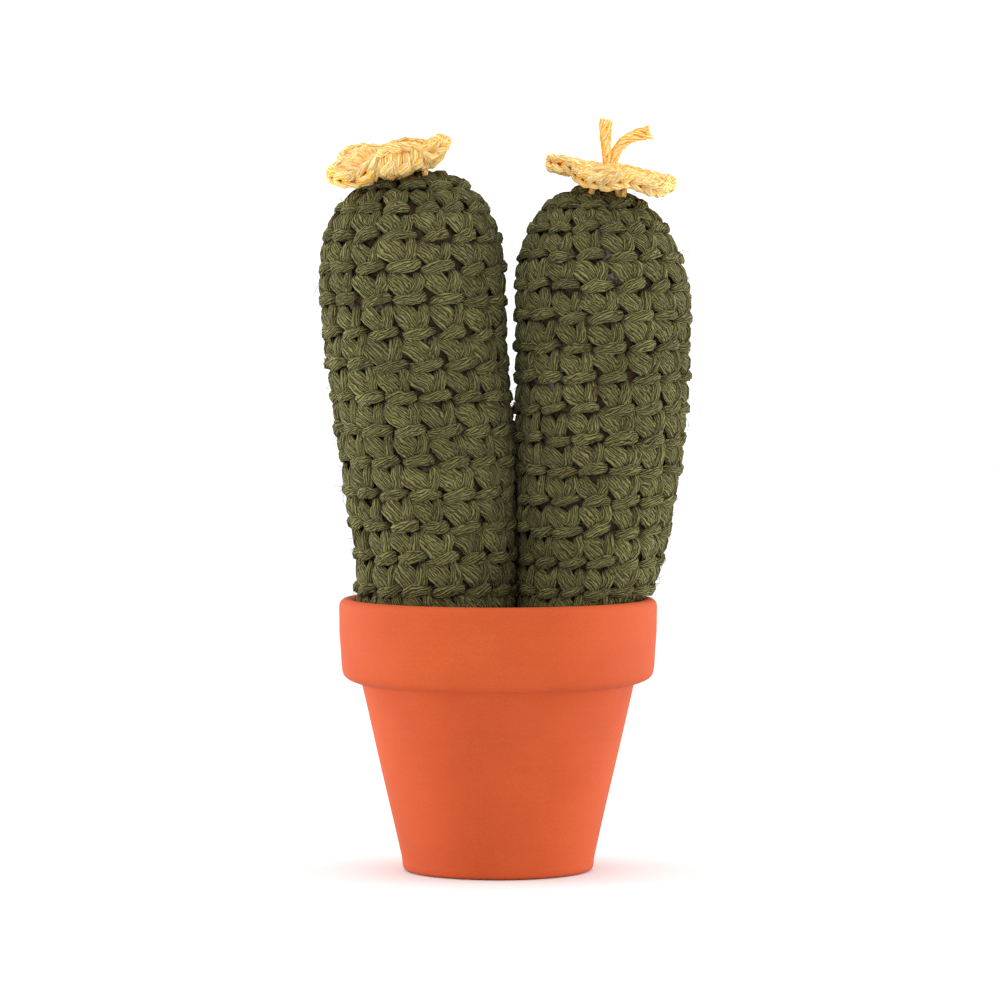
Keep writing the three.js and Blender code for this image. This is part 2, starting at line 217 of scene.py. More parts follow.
# The stage, in metres and watts, and the lens in millimetres
FLOOR_HALF = 3
FLOOR_COLOUR = (0.84, 0.86, 0.865, 1)
ROOM_LIGHT = 1.2
LIGHTS = [
    ("left_light", (-0.75, 0.15, 0.14), (0.6, 0.26), 3.6),
    ("right_light", (0.75, 0.15, 0.14), (0.6, 0.26), 3.4),
    ("top_light", (0.0, -0.1, 0.9), (0.7, 0.7), 1.5),
]
LIGHTS_AIM = (0, 0, 0.12)
LENS = 172.2
CAMERA_PLACE = (POT_AXIS[0] + 0.0005, -1.2, 0.145)
CAMERA_AIM = (POT_AXIS[0] + 0.0005, 0, 0.0931)


# Nodes

class Tree:
    """Adds nodes to a node tree and sets or links their inputs."""

    def __init__(self, group):
        self.group = group

    def add(self, kind, inputs=None, **settings):
        node = self.group.nodes.new(kind)
        for name, value in settings.items():
            setattr(node, name, value)
        for key, value in (inputs or {}).items():
            self.put(node, key, value)
        return node

    def put(self, node, key, value):
        if isinstance(key, int):
            socket = node.inputs[key]
        else:
            socket = next(s for s in node.inputs if s.enabled and s.name == key)
        if isinstance(value, bpy.types.Node):
            value = next(s for s in value.outputs if s.enabled)
        if isinstance(value, bpy.types.NodeSocket):
            self.group.links.new(value, socket)
        else:
            socket.default_value = value

    def math(self, operation, *values):
        return self.add("ShaderNodeMath", dict(enumerate(values)), operation=operation)

    def times(self, *values):
        return self.math("MULTIPLY", *values)

    def plus(self, *values):
        return self.math("ADD", *values)

    def over(self, *values):
        return self.math("DIVIDE", *values)

    def spread(self, value, width, middle):
        return self.math("MULTIPLY_ADD", value, width, middle)

    def vector_math(self, operation, *values):
        return self.add("ShaderNodeVectorMath", dict(enumerate(values)), operation=operation)

    def scaled(self, vector, factor):
        node = self.add("ShaderNodeVectorMath", {0: vector}, operation="SCALE")
        self.put(node, "Scale", factor)
        return node

    def xyz(self, x=0.0, y=0.0, z=0.0):
        return self.add("ShaderNodeCombineXYZ", {"X": x, "Y": y, "Z": z})

    def mix(self, factor, a, b, blend="MIX"):
        return self.add("ShaderNodeMix", {"Factor": factor, "A": a, "B": b},
                        data_type="RGBA", blend_type=blend)

    def ramp(self, factor, stops):
        node = self.add("ShaderNodeValToRGB", {"Fac": factor})
        elements = node.color_ramp.elements
        while len(elements) < len(stops):
            elements.new(0.5)
        for element, (position, colour) in zip(elements, stops):
            element.position = position
            element.color = (*colour, 1)
        return node

    def noise(self, vector, scale, detail=2.0, roughness=0.5, distortion=0.0):
        return self.add("ShaderNodeTexNoise", {
            "Vector": vector, "Scale": scale, "Detail": detail, "Roughness": roughness,
            "Distortion": distortion})

    def bent(self, vector, scale, detail):
        """A direction that wanders over space, from -0.5 to 0.5 each way."""
        colour = self.noise(vector, scale, detail).outputs["Color"]
        return self.vector_math("SUBTRACT", colour, (0.5, 0.5, 0.5))

    def parts(self, vector):
        return self.add("ShaderNodeSeparateXYZ", {"Vector": vector}).outputs

    def chance(self, low, high, seed, kind="FLOAT"):
        return self.add("FunctionNodeRandomValue", {"Min": low, "Max": high, "Seed": seed},
                        data_type=kind)

    def attribute(self, name, kind):
        return self.add("GeometryNodeInputNamedAttribute", {"Name": name}, data_type=kind)

    def store(self, geometry, name, value, domain):
        return self.add("GeometryNodeStoreNamedAttribute", {
            "Geometry": geometry, "Name": name, "Value": value}, data_type="FLOAT", domain=domain)

    def laid(self, points, motif, **inputs):
        """Copies of an object on points."""
        shape = self.add("GeometryNodeObjectInfo", {"Object": motif}).outputs["Geometry"]
        return self.add("GeometryNodeInstanceOnPoints", {
            "Points": points, "Instance": shape, **inputs})

    def moved(self, geometry, **inputs):
        return self.add("GeometryNodeSetPosition", {"Geometry": geometry, **inputs})

    def covered(self, geometry, material):
        return self.add("GeometryNodeSetMaterial", {"Geometry": geometry, "Material": material})

    def realized(self, geometry):
        return self.add("GeometryNodeRealizeInstances", {"Geometry": geometry})


def linear(red, green, blue):
    """The scene-linear colour of an sRGB colour given in 0 to 255."""
    def channel(value):
        value /= 255
        return value / 12.92 if value <= 0.04045 else ((value + 0.055) / 1.055) ** 2.4
    return tuple(channel(v) for v in (red, green, blue))


def new_material(name):
    material = bpy.data.materials.new(name)
    material.use_nodes = True
    return material, Tree(material.node_tree)


def set_finish(tree, colour, relief=None, strength=0.0, distance=0.0, **rest):
    """Sets the shader's colour and finish, and the bump that a relief makes, in millimetres."""
    shader = next(n for n in tree.group.nodes if n.type == "BSDF_PRINCIPLED")
    tree.put(shader, "Base Color", colour)
    if relief is not None:
        tree.put(shader, "Normal", tree.add("ShaderNodeBump", {
            "Height": relief, "Strength": strength, "Distance": distance * MM}))
    for name, value in rest.items():
        tree.put(shader, name.replace("_", " "), value)


def yarn_material(name, dark, middle, light, deep, recess_shade_range=(-2.2, -0.7), hairiness=0.8,
                  relief_depth=0.9, sheen=0.05, scatter=0.0):
    """Loosely plied cotton: fine strands along the yarn, with painted shade darker between them and low
    down in the stitches, and painted light on the strands' crests.
    """
    material, tree = new_material(name)
    length, strand, _ = tree.parts(tree.add("ShaderNodeUVMap", uv_map="strand"))
    shade, height = (tree.add("ShaderNodeAttribute", attribute_name=kind).outputs["Fac"]
                     for kind in ("shade", "height"))
    place = tree.xyz(tree.times(length, 0.45), tree.times(strand, 0.45), tree.times(shade, 40.0))
    across = tree.plus(strand, tree.spread(tree.noise(place, 1.0), 2.4, -1.2))
    ridge = tree.math("ABSOLUTE", tree.math("SINE", tree.times(across, math.pi)))
    ridge = tree.math("POWER", ridge, 0.8)
    place = tree.xyz(tree.times(length, 1.5), tree.times(across, 1.9), tree.times(shade, 17.0))
    hairs = tree.noise(place, 1.0, 4.0, 0.6)
    relief = tree.spread(hairs, hairiness, tree.spread(ridge, 0.8, 0.04 - hairiness / 2))
    # Painted shade and light: the ramp darkens the grooves between the strands and lightens their
    # crests, over the fibres' own uneven tone
    colour = tree.ramp(relief, [(0.25, dark), (0.5, middle), (0.78, light)])
    uneven = tree.spread(shade, 0.3, 0.85)
    colour = tree.mix(1.0, colour, tree.xyz(uneven, uneven, uneven), "MULTIPLY")
    # Painted shade: yarn low down in a stitch, where it dives under the next, is mixed towards the deep
    # colour
    low = tree.add("ShaderNodeMapRange", {
        "Value": height, "From Min": recess_shade_range[0], "From Max": recess_shade_range[1], "To Min": 0.9,
        "To Max": 0.0})
    set_finish(tree, tree.mix(low, colour, (*deep, 1)), relief, relief_depth, 0.5,
               Roughness=0.82, Specular_IOR_Level=0.05, Sheen_Weight=sheen, Sheen_Roughness=0.45,
               Subsurface_Weight=scatter, Subsurface_Radius=(1.0, 0.55, 0.2), Subsurface_Scale=0.002)
    return material


def lining_material(name, dark, light, wisp, wisp_share):
    """The backs of the stitches, painted darker than the yarn as the shade in the holes between them,
    with wisps of stuffing that come through between them.
    """
    material, tree = new_material(name)
    place = tree.add("ShaderNodeTexCoord").outputs["Object"]
    bent = tree.scaled(tree.bent(place, 190.0, 2.0), 0.012)
    swept = tree.vector_math("MULTIPLY", tree.vector_math("ADD", place, bent), (350.0, 350.0, 2300.0))
    strands = tree.noise(swept, 1.0, 3.0, 0.6)
    colour = tree.ramp(strands, [(0.36, dark), (0.68, light)])
    fibres = tree.noise(place, 520.0, 5.0, distortion=2.5)
    through = tree.ramp(tree.spread(fibres, 0.35, tree.noise(place, 95.0, 1.0)),
                        [(wisp_share, (0, 0, 0)), (wisp_share + 0.09, (1, 1, 1))])
    set_finish(tree, tree.mix(through, colour, (*wisp, 1)), strands, 1.0, 0.8, Roughness=0.95,
               Specular_IOR_Level=0.1)
    return material


# Meshes

def new_object(name, points, faces):
    """A smooth object with a plain mesh, its points in metres."""
    mesh = bpy.data.meshes.new(name)
    mesh.from_pydata([tuple(p) for p in points], [], faces)
    mesh.update()
    mesh.shade_smooth()
    return show(name, mesh)


def show(name, data):
    """A new object in the scene for a mesh, a light or a camera."""
    made = bpy.data.objects.new(name, data)
    bpy.context.scene.collection.objects.link(made)
    return made


def grid_faces(rows, columns, closed=False):
    """Quads round rows of points: along a row is x, up the rows is y, and they face x cross y."""
    faces = []
    for row in range(rows - 1):
        for column in range(columns):
            after = (column + 1) % columns
            low, high = row * columns, (row + 1) * columns
            faces.append((low + column, low + after, high + after, high + column))
    if closed:
        last = (rows - 1) * columns
        faces += [tuple(reversed(range(columns))), tuple(range(last, last + columns))]
    return faces


def grid_corners(rows_at, columns):
    """Each quad of grid_faces' UV corners: 0 to 1 along a row, and up the rows as rows_at says."""
    corners = []
    for low, high in zip(rows_at, rows_at[1:]):
        for k in range(columns):
            left, right = k / columns, (k + 1) / columns
            corners.append([(left, low), (right, low), (right, high), (left, high)])
    return corners


def turned_over(corners):
    """A face's corners in the other sense, from the same first corner."""
    return [corners[0], *reversed(corners[1:])]


def cut_uv(made, name, corners):
    """Gives an object a UV map from each face's pairs of numbers."""
    layer = made.data.uv_layers.new(name=name)
    layer.data.foreach_set("uv", np.vstack(corners).ravel())


def give_number(made, name, value):
    """Gives all of an object's points the same number."""
    attribute = made.data.attributes.new(name, "FLOAT", "POINT")
    attribute.data.foreach_set("value", np.full(len(made.data.vertices), value))


def stitch_surface(name, points, outwards, rows_at, closed=False):
    """A surface to crochet on, from rows of points in millimetres and directions out of it."""
    rows, columns = points.shape[:2]
    made = new_object(name, points.reshape(-1, 3) * MM + POT_AXIS, grid_faces(rows, columns, closed))
    ends = [[(2, -1)] * columns, [(2, 2)] * columns] if closed else []
    cut_uv(made, "spread", grid_corners(rows_at, columns) + ends)
    attribute = made.data.attributes.new("out", "FLOAT_VECTOR", "POINT")
    attribute.data.foreach_set("vector", outwards.ravel())
    return made


def unit(vectors):
    """The vectors, each made one long."""
    return vectors / np.linalg.norm(vectors, axis=-1)[..., None]


def smooth_path(points, steps):
    """Points evenly spaced in parameter on a Catmull-Rom curve through the given points."""
    points = np.asarray(points, float)
    ends = np.vstack([2 * points[0] - points[1], points, 2 * points[-1] - points[-2]])
    result = []
    for at in np.linspace(0, len(points) - 1, steps):
        k = min(int(at), len(points) - 2)
        t = at - k
        a, b, c, d = ends[k:k + 4]
        result.append(0.5 * (2 * b + (c - a) * t + (2 * a - 5 * b + 4 * c - d) * t ** 2
                             + (3 * b - a - 3 * c + d) * t ** 3))
    return np.array(result)


def bundle(path, half_width, half_height, plies, span, twist=0.0, ends=0.45, ply_radius=0.5,
           steps=5, up=(0, 0, 1), seed=1, frayed=0.0, core=False):
    """One stretch of yarn as closed tubes: plies laid side by side, some over a flat core."""
    centre = smooth_path(path, steps + 1)
    along = unit(np.gradient(centre, axis=0))
    across = unit(np.cross(up, along))
    lift = np.cross(along, across)
    run = np.concatenate([[0], np.cumsum(np.linalg.norm(np.diff(centre, axis=0), axis=1))])
    share = run / run[-1]
    swell = ends + (1 - ends) * np.sin(np.pi * np.clip(share, 0.03, 0.97)) ** 0.7
    spread = swell + frayed * share ** 4
    chance = np.random.default_rng(seed)
    tubes = []
    for k in range(plies):
        place = (k + chance.uniform(-0.12, 0.12)) / (plies - 1) - 0.5
        angle = math.pi / 2 - math.radians(span) * place + twist * (run - run[-1] / 2)
        push = 1 + chance.uniform(-0.08, 0.08)
        aside = np.cos(angle) * (half_width - ply_radius) * spread * push
        above = np.sin(angle) * (half_height - ply_radius) * spread * push
        middle = centre + across * aside[:, None] + lift * above[:, None]
        radius = ply_radius * (0.55 + 0.45 * swell) * (1 + chance.uniform(-0.12, 0.12))
        if frayed:
            middle[-1] += along[-1] * chance.uniform(-1.3, 0.7)
        tubes.append((middle, radius, radius, PLY_SIDES))
    if core:
        tubes.append((centre, (half_width - 0.3) * swell, (half_height - 0.35) * swell, CORE_SIDES))
    return run, across, lift, tubes


def object_of_bundles(name, bundles, scale, place=(0, 0, 0)):
    """Bundles of yarn as one object, with a UV map that runs along and across their strands."""
    points, faces, corners = [], [], []
    for number, (run, across, lift, tubes) in enumerate(bundles):
        for k, (middle, wide, high, sides) in enumerate(tubes):
            first = sum(len(p) for p in points)
            turn = -TURN * (np.arange(sides) + 0.5) / sides
            ring = (middle[:, None]
                    + wide[:, None, None] * np.cos(turn)[None, :, None] * across[:, None]
                    + high[:, None, None] * np.sin(turn)[None, :, None] * lift[:, None])
            points.append(ring.reshape(-1, 3))
            # Each tube lies at a place of its own in the yarn's pattern
            base = (number * 11 + k) * STRANDS_IN_PLY * 3
            strands = STRANDS_IN_PLY if sides == PLY_SIDES else STRANDS_IN_CORE
            lengths = run + 3.7 * k + 17 * number
            places = grid_corners(lengths, sides)
            places += [[(0, lengths[0])] * sides, [(0, lengths[-1])] * sides]
            # The sides run clockwise about the tube's direction, so each face is turned over
            for face, at in zip(grid_faces(len(middle), sides, closed=True), places):
                faces.append([first + v for v in turned_over(face)])
                corners.append([(length, base + strands * share) for share, length in turned_over(at)])
    made = new_object(name, np.vstack(points) * scale + place, faces)
    cut_uv(made, "strand", corners)
    return made


# Crochet by Geometry Nodes

def new_group(name, inputs, output):
    """An empty Geometry Nodes group with named inputs and one geometry output."""
    group = bpy.data.node_groups.new(name, "GeometryNodeTree")
    for label, kind, default in inputs:
        socket = group.interface.new_socket(label, in_out="INPUT", socket_type="NodeSocket" + kind)
        if default is not None:
            socket.default_value = default
    group.interface.new_socket(output, in_out="OUTPUT", socket_type="NodeSocketGeometry")
    return group, Tree(group)


def run_group(group, surface, name, settings):
    """Runs a group on a surface and returns the plain mesh object that it makes in its place."""
    sockets = {i.name: i.identifier for i in group.interface.items_tree if i.in_out == "INPUT"}
    modifier = surface.modifiers.new(group.name, "NODES")
    modifier.node_group = group
    for key, value in settings.items():
        modifier[sockets[key]] = value
    bpy.context.view_layer.update()
    evaluated = surface.evaluated_get(bpy.context.evaluated_depsgraph_get())
    mesh = bpy.data.meshes.new_from_object(evaluated)
    mesh.name = name
    mesh.shade_smooth()
    bpy.data.objects.remove(surface)
    return show(name, mesh)


def crochet_group():
    """Lays stitches in rounds over a surface with a UV map, fewer and fewer at its crown."""
    group, tree = new_group("Crochet", (
        ("Geometry", "Geometry", None),
        ("Stitch", "Object", None),
        ("Stitches a round", "Int", 15),
        ("Rounds", "Int", 16),
        ("Added a round", "Int", 5),
        ("Drift", "Float", -0.16),
        ("First row", "Float", 0.3),
        ("Unevenness", "Float", 1.0),
        ("Wobble", "Float", 0.35 * MM),
        ("Lining depth", "Float", 1.5 * MM),
        ("Seed", "Int", 1),
        ("Yarn", "Material", None),
        ("Lining", "Material", None),
    ), "Crochet")
    given = tree.add("NodeGroupInput").outputs

    def chance(low, high, salt):
        return tree.chance(low, high, tree.plus(given["Seed"], float(salt)))

    def differing(share, salt):
        return tree.spread(chance(-share, share, salt), uneven, 1.0)

    # Which round and stitch each point is, and how many stitches its round has
    index = tree.add("GeometryNodeInputIndex")
    stitches, rounds, uneven = given["Stitches a round"], given["Rounds"], given["Unevenness"]
    row = tree.math("FLOOR", tree.over(index, stitches))
    number = tree.math("SUBTRACT", index, tree.times(row, stitches))
    from_crown = tree.math("SUBTRACT", rounds, row)
    in_round = tree.math("MINIMUM", stitches, tree.times(from_crown, given["Added a round"]))
    kept = tree.math("LESS_THAN", number, in_round)

    # Where each stitch lies on the unrolled surface
    shift = tree.times(chance(-0.035, 0.035, 11), uneven)
    drift = tree.times(row, tree.over(given["Drift"], stitches))
    round_it = tree.plus(drift, tree.over(tree.plus(number, tree.plus(shift, 1.0)), in_round))
    up_it = tree.over(tree.plus(row, tree.spread(
        chance(-0.04, 0.04, 23), uneven, given["First row"])), rounds)
    points = tree.add("GeometryNodePoints", {
        "Count": tree.times(stitches, rounds), "Position": tree.xyz(round_it, up_it)})
    size = tree.xyz(tree.over(differing(0.08, 31), in_round), tree.over(differing(0.06, 37), rounds),
                    differing(0.16, 41))
    laid = tree.laid(points, given["Stitch"], Selection=kept, Scale=size)
    laid = tree.store(laid, "shade", chance(0.0, 1.0, 53), "INSTANCE")
    along, up, height = tree.parts(tree.add("GeometryNodeInputPosition"))
    # Each point's height in its stitch, which the yarn material uses to paint shade low down
    flat = tree.store(tree.realized(laid), "height", height, "POINT")

    # Each stitch is bent in its own way
    spot = tree.vector_math("MULTIPLY", tree.add("GeometryNodeInputPosition"),
                            tree.xyz(tree.times(stitches, 1.6), tree.times(rounds, 1.3), 0.5))
    bent = tree.add("ShaderNodeTexNoise", {
        "Vector": spot, "W": tree.times(tree.attribute("shade", "FLOAT"), 60.0), "Scale": 1.0,
        "Detail": 2.0}, noise_dimensions="4D")
    bent = tree.vector_math("SUBTRACT", bent.outputs["Color"], (0.5, 0.5, 0.5))
    bent = tree.vector_math("MULTIPLY", bent, tree.xyz(
        tree.over(0.34, stitches), tree.over(0.34, rounds), 0.9))
    flat = tree.moved(flat, Offset=tree.scaled(bent, uneven))

    # Roll the flat stitches on to the surface
    at = tree.xyz(tree.math("FRACT", along),
                  tree.math("MINIMUM", tree.math("MAXIMUM", up, 0.0005), 0.9995))
    outwards = tree.attribute("out", "FLOAT_VECTOR")

    def sampled(value):
        return tree.add("GeometryNodeSampleUVSurface", {
            0: given["Geometry"], "Value": value, "UV Map": tree.attribute("spread", "FLOAT_VECTOR"),
            "Sample UV": at}, data_type="FLOAT_VECTOR").outputs[0]

    foot = sampled(tree.add("GeometryNodeInputPosition"))
    rolled = tree.vector_math("ADD", foot, tree.scaled(sampled(outwards), tree.times(height, MM)))
    for scale, share in ((120.0, 2.0), (620.0, 0.8)):
        stray = tree.scaled(tree.bent(rolled, scale, 1.0), tree.times(given["Wobble"], share))
        rolled = tree.vector_math("ADD", rolled, stray)
    yarn = tree.covered(tree.moved(flat, Position=rolled), given["Yarn"])

    # The lining lies behind the stitches: their backs, in a darker colour that paints the shade in the
    # holes between them
    inwards = tree.scaled(outwards, tree.times(given["Lining depth"], -1.0))
    lining = tree.covered(tree.moved(given["Geometry"], Offset=inwards), given["Lining"])
    both = tree.add("GeometryNodeJoinGeometry")
    for part in (lining, yarn):
        group.links.new(part.outputs[0], both.inputs[0])
    tree.add("NodeGroupOutput", {"Crochet": tree.realized(both)})
    return group


def crochet_on(surface, name, settings):
    return run_group(bpy.data.node_groups.get("Crochet") or crochet_group(), surface, name, settings)


def join(name, parts):
    """Joins objects with plain meshes into one."""
    for part in bpy.context.view_layer.objects:
        part.select_set(part in parts)
    bpy.context.view_layer.objects.active = parts[0]
    bpy.ops.object.join()
    parts[0].name = name
    parts[0].data.name = name
    return parts[0]


def hand_over(made, node):
    """Puts a finished piece in place of its CAD node."""
    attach(made, "root")
    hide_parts(node)


# Columns

def hermite(stations, k, at):
    """A smooth curve through column k of the stations, as a function of the first column."""
    table = np.array(stations, float)
    z, value = table[:, 0], table[:, k]
    slope = np.gradient(value, z)
    i = np.clip(np.searchsorted(z, at, side="right") - 1, 0, len(z) - 2)
    span = z[i + 1] - z[i]
    t = (at - z[i]) / span
    return ((2 * t ** 3 - 3 * t ** 2 + 1) * value[i] + (t ** 3 - 2 * t ** 2 + t) * span * slope[i]
            + (3 * t ** 2 - 2 * t ** 3) * value[i + 1] + (t ** 3 - t ** 2) * span * slope[i + 1])


def wall_reach(height, clear):
    """How far from its axis the pot's faceted inside lets a piece reach, in millimetres."""
    return np.interp(height, *zip(*POT_INSIDE)) * math.cos(math.pi / CAD_POT_SIDES) - REST_GAP - clear


def meridian(column, steps=120):
    """Fine samples up a column: run, height, middle, half width and half depth, in millimetres."""
    stations, crown = column["stations"], column["crown"]
    z = np.linspace(stations[0][0], stations[-1][0], steps, endpoint=False)
    side = [z] + [hermite(stations, k, z) for k in (1, 2, 3)]
    angle = np.linspace(0, math.pi / 2, steps + 1)
    inwards = np.maximum(0, np.cos(angle)) ** (2 / crown["power"])
    upwards = np.sin(angle) ** (2 / crown["power"])
    shoulder_z, x, a, b = stations[-1]
    dome = [
        shoulder_z + (crown["z"] - shoulder_z) * upwards,
        x + (crown["x"] - x) * upwards ** crown["late"],
        a * inwards,
        b * inwards,
    ]
    z, x, a, b = (np.concatenate(pair) for pair in zip(side, dome))
    run = np.concatenate([[0], np.cumsum(np.hypot(np.diff(a), np.diff(z)))])
    return run, z, x, a, b


def column_shape(column, relief, rows, columns):
    """Rows of points on a column, the directions out of it, its rows' shares and its rounds."""
    run, *curves = meridian(column)
    length = run[-1]
    first = np.interp(FIRST_STITCH_Z, curves[0], run)
    rounds = round((length - first) / ROUND_HEIGHT)
    start = first - ROUNDS_IN_POT * (length - first) / rounds
    top = length - CROWN_END
    runs = np.concatenate([np.linspace(0, start, ROWS_IN_POT, endpoint=False),
                           np.linspace(start, top, rows)])
    angles = TURN * np.arange(columns) / columns
    height, middle, half_width, half_depth = (np.interp(runs, run, c)[:, None] for c in curves)
    px = middle + half_width * np.cos(angles)
    py = half_depth * np.sin(angles)
    pz = np.broadcast_to(height, px.shape)
    inside = np.minimum(1, wall_reach(pz, relief) / np.maximum(np.hypot(px, py), 1e-6))
    px, py = px * inside, py * inside
    apart = PRESS_GAP + np.interp(pz, *zip(*PRESSED_FLAT)) * relief
    press = np.interp(pz, *zip(*PRESS_PLANE)) + column["side"] * apart
    px = np.minimum(px, press) if column["side"] < 0 else np.maximum(px, press)
    points = np.stack([px, py, pz], axis=-1)
    round_it = np.roll(points, -1, axis=1) - np.roll(points, 1, axis=1)
    outwards = unit(np.cross(round_it, np.gradient(points, axis=0)))
    outwards[-1] = (0, 0, 1)
    return points, outwards, (runs - start) / (top - start), rounds + ROUNDS_IN_POT


def column_filling(name, column):
    """The loose fibre in a column, as a lumpy closed body inside its crochet."""
    points, outwards, *_ = column_shape(column, 0.0, rows=40, columns=36)
    lumps = np.array([noise.noise(Vector(p) * 0.18) for p in points.reshape(-1, 3)])
    depth = FILLING_DEPTH - 0.5 * lumps.reshape(points.shape[:2])
    points = points - outwards * depth[..., None]
    points[..., 2] = np.maximum(points[..., 2], FILLING_FOOT_Z)
    faces = grid_faces(*points.shape[:2], closed=True)
    return new_object(name, points.reshape(-1, 3) * MM + POT_AXIS, faces)


def column_stitch():
    """A bar across the foot of two slanting legs that dive under the next bars."""
    bar = bundle([(-4.3, -0.85, -2.0), (-3.1, -0.6, -0.8), (-1.2, -0.2, -0.1), (1.2, 0.25, -0.1),
                  (3.1, 0.6, -0.75), (4.2, 0.9, -2.0)], 1.6, 1.2, plies=6, span=240,
                 twist=-0.28, ends=0.4, steps=6, seed=3)
    left_leg = bundle([(0.4, 0.3, -2.0), (-0.9, 2.1, -0.85), (-2.5, 3.7, -0.45), (-4.2, 5.0, -0.75),
                       (-5.8, 6.6, -2.1)], 2.75, 1.2, plies=6, span=180, ends=0.62,
                      ply_radius=0.6, seed=5, core=True)
    right_leg = bundle([(0.4, -0.2, -2.1), (1.15, 1.8, -0.9), (1.75, 3.7, -0.55), (1.65, 5.4, -0.9),
                        (1.1, 7.2, -2.2)], 1.7, 1.15, plies=5, span=190, ends=0.62, seed=7,
                       core=True)
    return object_of_bundles("stitch", [bar, left_leg, right_leg],
                             (STITCH_SPREAD / STITCH_WIDTH, 1 / ROUND_HEIGHT, 1))


# Pot and wad

def arc(middle, radius, start, end, steps):
    """Points of an arc in the plane of radius and height, from one angle to another in degrees."""
    angles = np.radians(np.linspace(start, end, steps))
    return [(middle[0] + radius * math.cos(a), middle[1] + radius * math.sin(a)) for a in angles]


def turned(name, profile, sides, wobble, seed):
    """A closed body turned about the pot's axis, a little uneven, as a mesh with faces outwards."""
    points = []
    for radius, height in profile:
        for j in range(sides):
            angle = TURN * j / sides
            way = Vector((math.cos(angle), math.sin(angle), 0))
            uneven = wobble * noise.noise(way * 1.6 + Vector((seed, radius * 0.02, height * 0.05)))
            points.append(((radius + uneven) * way.x, (radius + uneven) * way.y, height))
    faces = [tuple(v % len(points) for v in face) for face in grid_faces(len(profile) + 1, sides)]
    return new_object(name, np.array(points) * MM + POT_AXIS, faces)


def pot_profile():
    """The pot's section as points of radius and height, round its outside and back through it."""
    lip_z = POT_HEIGHT - LIP_ROUND
    inside_foot = (FLOOR_RADIUS + 0.6, FLOOR_THICKNESS + 1)
    return np.vstack([
        smooth_path(POT_OUTSIDE[:3], 9),
        np.linspace(POT_OUTSIDE[2], POT_OUTSIDE[3], 14)[1:],
        smooth_path([POT_OUTSIDE[3], *UNDER_RIM], 22)[1:],
        [(RIM_RADIUS - 0.1, 60), (RIM_RADIUS, lip_z - 0.6)],
        arc((RIM_RADIUS - LIP_ROUND, lip_z), LIP_ROUND, 0, 90, 8),
        arc((LIP_RADIUS + LIP_ROUND, lip_z), LIP_ROUND, 90, 180, 8),
        np.linspace((LIP_RADIUS - 0.4, 65), (BEND_RADIUS, BEND_Z), 6),
        np.linspace((BEND_RADIUS - 0.2, BEND_Z - 2), inside_foot, 8),
        [(FLOOR_RADIUS - 1.4, FLOOR_THICKNESS), (DRAIN_RADIUS + 0.8, FLOOR_THICKNESS),
         (DRAIN_RADIUS, FLOOR_THICKNESS - 0.8), (DRAIN_RADIUS, 0.8), (DRAIN_RADIUS + 0.8, 0)],
    ])


def clay_material(base, pale, deep):
    """Fine-grained unglazed clay with faint blotches and the rings of turning."""
    material, tree = new_material("clay")
    place = tree.add("ShaderNodeTexCoord").outputs["Object"]
    grain = tree.noise(place, 2600.0, 3.0, 0.75)
    blotches = tree.noise(place, 34.0, 3.0, 0.55)
    rings = tree.noise(tree.vector_math("MULTIPLY", place, (6.0, 6.0, 900.0)), 1.0, 3.0, 0.6)
    tone = tree.spread(grain, 0.45, tree.spread(blotches, 0.45, tree.times(rings, 0.06)))
    colour = tree.ramp(tone, [(0.3, deep), (0.54, base), (0.8, pale)])
    relief = tree.spread(grain, 0.5, tree.times(rings, 0.5))
    set_finish(tree, colour, relief, 0.35, 0.2, Roughness=0.78, Specular_IOR_Level=0.3)
    return material


def fibre_material():
    """White loose fibre, a little greyer in the hollows of its bump as painted shade."""
    material, tree = new_material("fibre")
    place = tree.add("ShaderNodeTexCoord").outputs["Object"]
    wisps = tree.noise(place, 420.0, 6.0, 0.7, 2.2)
    colour = tree.ramp(wisps, [(0.3, linear(228, 225, 220)), (0.7, linear(252, 251, 248))])
    set_finish(tree, colour, wisps, 0.6, 0.6, Roughness=0.95, Sheen_Weight=0.3)
    return material


def wad_body(rows=26, columns=72):
    """The lumpy top of the stuffing in the pot, its side and its flat foot."""
    rings = [(WAD_FOOT_Z, share) for share in (0.02, 0.5, 0.97)]
    rings += [(z, 1.0) for z in np.linspace(FLOOR_THICKNESS + 1.5, WAD_TOP_Z - 1.5, 10)]
    rings += [(WAD_TOP_Z, share) for share in np.linspace(0.98, 0.02, rows)]
    points = []
    for height, share in rings:
        radius = share * wall_reach(height, 0.2)
        for j in range(columns):
            angle = TURN * j / columns
            x, y = radius * math.cos(angle), radius * math.sin(angle)
            lump = 0.0
            if height > WAD_TOP_Z - 1:
                lump = noise.fractal(Vector((x, y, 3.0)) * 0.09, 0.9, 2.1, 4) * WAD_LUMPS - 0.6
                lump -= WAD_EDGE_DROP * share ** 8
            points.append((x, y, height + lump))
    faces = grid_faces(len(rings), columns, closed=True)
    return new_object("stuffing_body", np.array(points) * MM + POT_AXIS, faces)


def keep_in_pot(made):
    """Draws in the points of an object that would stick into the pot's wall."""
    points = np.zeros(len(made.data.vertices) * 3)
    made.data.vertices.foreach_get("co", points)
    points = points.reshape(-1, 3) - POT_AXIS
    reach = np.hypot(points[:, 0], points[:, 1]) / MM
    kept = wall_reach(points[:, 2] / MM, 0.0) / np.maximum(reach, 1e-6)
    points[:, :2] *= np.minimum(1, kept)[:, None]
    made.data.vertices.foreach_set("co", (points + POT_AXIS).ravel())


